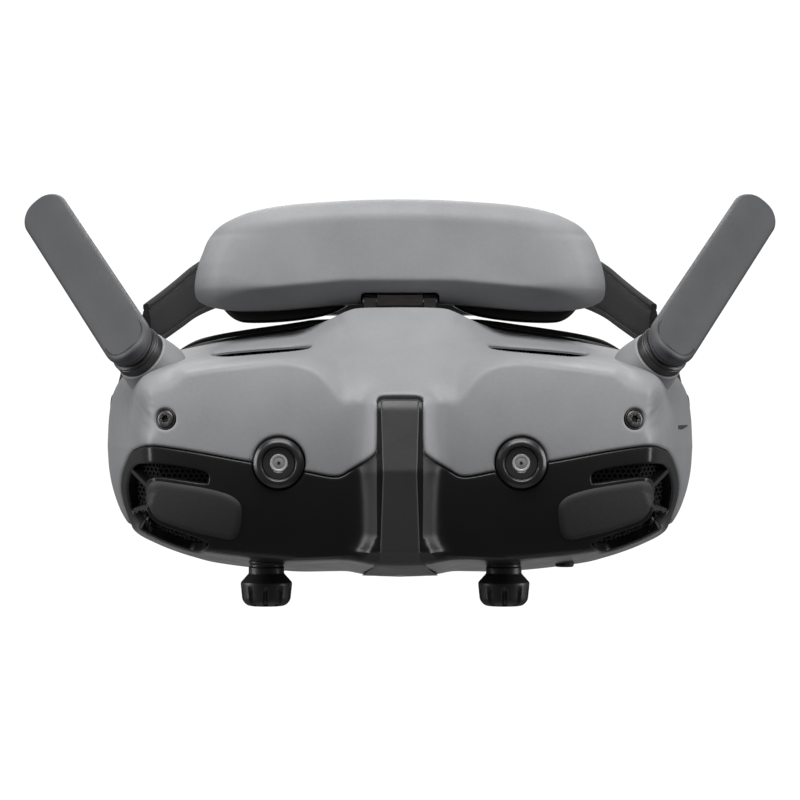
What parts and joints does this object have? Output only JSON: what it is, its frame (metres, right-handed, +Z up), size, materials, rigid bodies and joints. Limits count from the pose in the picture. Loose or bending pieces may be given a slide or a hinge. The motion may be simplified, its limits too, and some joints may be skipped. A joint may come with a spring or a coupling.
{
  "type": "fpv goggles",
  "caption": "Head-worn video goggles with fold-out antennas, a tilting forehead pad, sliding focusing eyepieces and a headband that carries the battery.",
  "frame": {"origin": "middle of the face cushion's contact with the face, midway between the eyes", "axes": "+Y out of the eyepieces towards the wearer's head, +Z up, +X to the right as seen from the front of the goggles"},
  "size_m": [0.2116, 0.2733, 0.1144],
  "materials": {
    "shell_gray": "satin fine-grained",
    "shell_black": "satin",
    "bumper_black": "matte sandblasted",
    "antenna_gray": "fine-grained",
    "knob_black": "satin",
    "face_foam": "soft knit over foam",
    "strap_fabric": "woven elastic",
    "gunmetal": "dark satin",
    "steel": "ground",
    "aluminium": "anodised",
    "board_green": "solder mask",
    "optic_glass": "coated",
    "dark_glass": "gloss",
    "cell_wrap": "shrink film"
  },
  "bodies": {
    "housing": {"upper_shell": "shell_gray", "lower_front_shell": "shell_black", "intake_grille_left": "shell_black", "intake_grille_right": "shell_black", "bumper_plate_left": "bumper_black", "bumper_plate_right": "bumper_black", "camera_ring_left": "knob_black", "camera_ring_right": "knob_black", "camera_window_left": "dark_glass", "camera_window_right": "dark_glass", "front_screw_left": "gunmetal", "front_screw_right": "gunmetal", "top_grille_left": "shell_black", "top_grille_right": "shell_black", "rear_frame": "shell_black", "face_foam": "face_foam", "mid_chassis": "shell_black", "guide_rod_upper": "steel", "guide_rod_lower": "steel", "main_board": "board_green", "fan_housing": "shell_black", "heat_sink_left": "aluminium", "heat_sink_right": "aluminium", "lens_panel": "shell_black", "proximity_window": "dark_glass", "hinge_base": "gunmetal", "hinge_pin": "steel", "antenna_base_left": "shell_gray", "antenna_base_right": "shell_gray"},
    "antenna_left": {"antenna_collar_left": "knob_black", "antenna_blade_left": "antenna_gray"},
    "antenna_right": {"antenna_collar_right": "knob_black", "antenna_blade_right": "antenna_gray"},
    "forehead_pad": {"hinge_leaf": "gunmetal", "pad_cover": "shell_gray", "pad_base": "shell_black", "pad_cushion": "face_foam"},
    "eyepiece_left": {"ipd_carriage_left": "shell_black", "display_module_left": "dark_glass"},
    "eyepiece_right": {"ipd_carriage_right": "shell_black", "display_module_right": "dark_glass"},
    "barrel_left": {"lens_barrel_left": "shell_black", "eyepiece_lens_left": "optic_glass"},
    "barrel_right": {"lens_barrel_right": "shell_black", "eyepiece_lens_right": "optic_glass"},
    "knob_left": {"focus_knob_left": "knob_black"},
    "knob_right": {"focus_knob_right": "knob_black"},
    "headband": {"strap_arm_left": "shell_gray", "strap_arm_right": "shell_gray", "strap_left": "strap_fabric", "strap_right": "strap_fabric", "battery_case": "shell_black", "battery_cells": "cell_wrap", "battery_cover": "shell_black"},
    "dial": {"adjust_dial": "knob_black"},
    "power": {"power_button": "bumper_black"},
    "link": {"link_button": "bumper_black"},
    "port": {"port_cover": "bumper_black"},
    "fan": {"fan_rotor": "bumper_black"}
  },
  "joints": [
    {"name": "antenna_left_fold", "type": "hinge", "parent": "housing", "child": "antenna_left", "pos_m": [-0.0669, -0.0484, 0.0243], "axis": [-0.5181, -0.6421, 0.5651], "range_deg": [-112, 0]},
    {"name": "antenna_right_fold", "type": "hinge", "parent": "housing", "child": "antenna_right", "pos_m": [0.0669, -0.0484, 0.0243], "axis": [0.5181, -0.6421, 0.5651], "range_deg": [0, 112]},
    {"name": "forehead_pad_tilt", "type": "hinge", "parent": "housing", "child": "forehead_pad", "pos_m": [0, -0.034, 0.0402], "axis": [1, 0, 0], "range_deg": [-4, 8]},
    {"name": "ipd_left_slide", "type": "slide", "parent": "housing", "child": "eyepiece_left", "axis": [-1, 0, 0], "range_m": [-0.0031, 0.0049]},
    {"name": "ipd_right_slide", "type": "slide", "parent": "housing", "child": "eyepiece_right", "axis": [1, 0, 0], "range_m": [-0.0031, 0.0049]},
    {"name": "focus_left_turn", "type": "hinge", "parent": "eyepiece_left", "child": "knob_left", "pos_m": [-0.035, -0.05, -0.036], "axis": [0, 0, 1], "range_deg": [-150, 150]},
    {"name": "focus_right_turn", "type": "hinge", "parent": "eyepiece_right", "child": "knob_right", "pos_m": [0.0272, -0.05, -0.036], "axis": [0, 0, 1], "range_deg": [-150, 150]},
    {"name": "focus_left_slide", "type": "slide", "parent": "eyepiece_left", "child": "barrel_left", "axis": [0, 1, 0], "range_m": [-0.00248, 0.00248]},
    {"name": "focus_right_slide", "type": "slide", "parent": "eyepiece_right", "child": "barrel_right", "axis": [0, 1, 0], "range_m": [-0.00248, 0.00248]},
    {"name": "headband_swing", "type": "hinge", "parent": "housing", "child": "headband", "pos_m": [0.0779, -0.0095, 0.0105], "axis": [1, 0, 0], "range_deg": [-8, 18]},
    {"name": "dial_turn", "type": "hinge", "parent": "headband", "child": "dial", "pos_m": [0, 0.18, 0.058], "axis": [0, 1, 0], "continuous": true},
    {"name": "power_press", "type": "slide", "parent": "headband", "child": "power", "axis": [0, -1, 0], "range_m": [0, 0.0006], "stiffness_N_per_m": 800, "springref_m": -0.0008},
    {"name": "link_press", "type": "slide", "parent": "housing", "child": "link", "axis": [0, 0, 1], "range_m": [0, 0.0006], "stiffness_N_per_m": 800, "springref_m": -0.0008},
    {"name": "port_cover_open", "type": "hinge", "parent": "housing", "child": "port", "pos_m": [0.0738, -0.0419, 0.0028], "axis": [0, 0, -1], "range_deg": [0, 75]},
    {"name": "fan_spin", "type": "hinge", "parent": "housing", "child": "fan", "pos_m": [0, -0.07, -0.004], "axis": [0, 1, 0], "continuous": true}
  ],
  "couplings": [
    {"joint": "focus_left_turn", "follows": "focus_left_slide", "rad_per_m": 1052.6},
    {"joint": "focus_right_turn", "follows": "focus_right_slide", "rad_per_m": 1052.6}
  ]
}
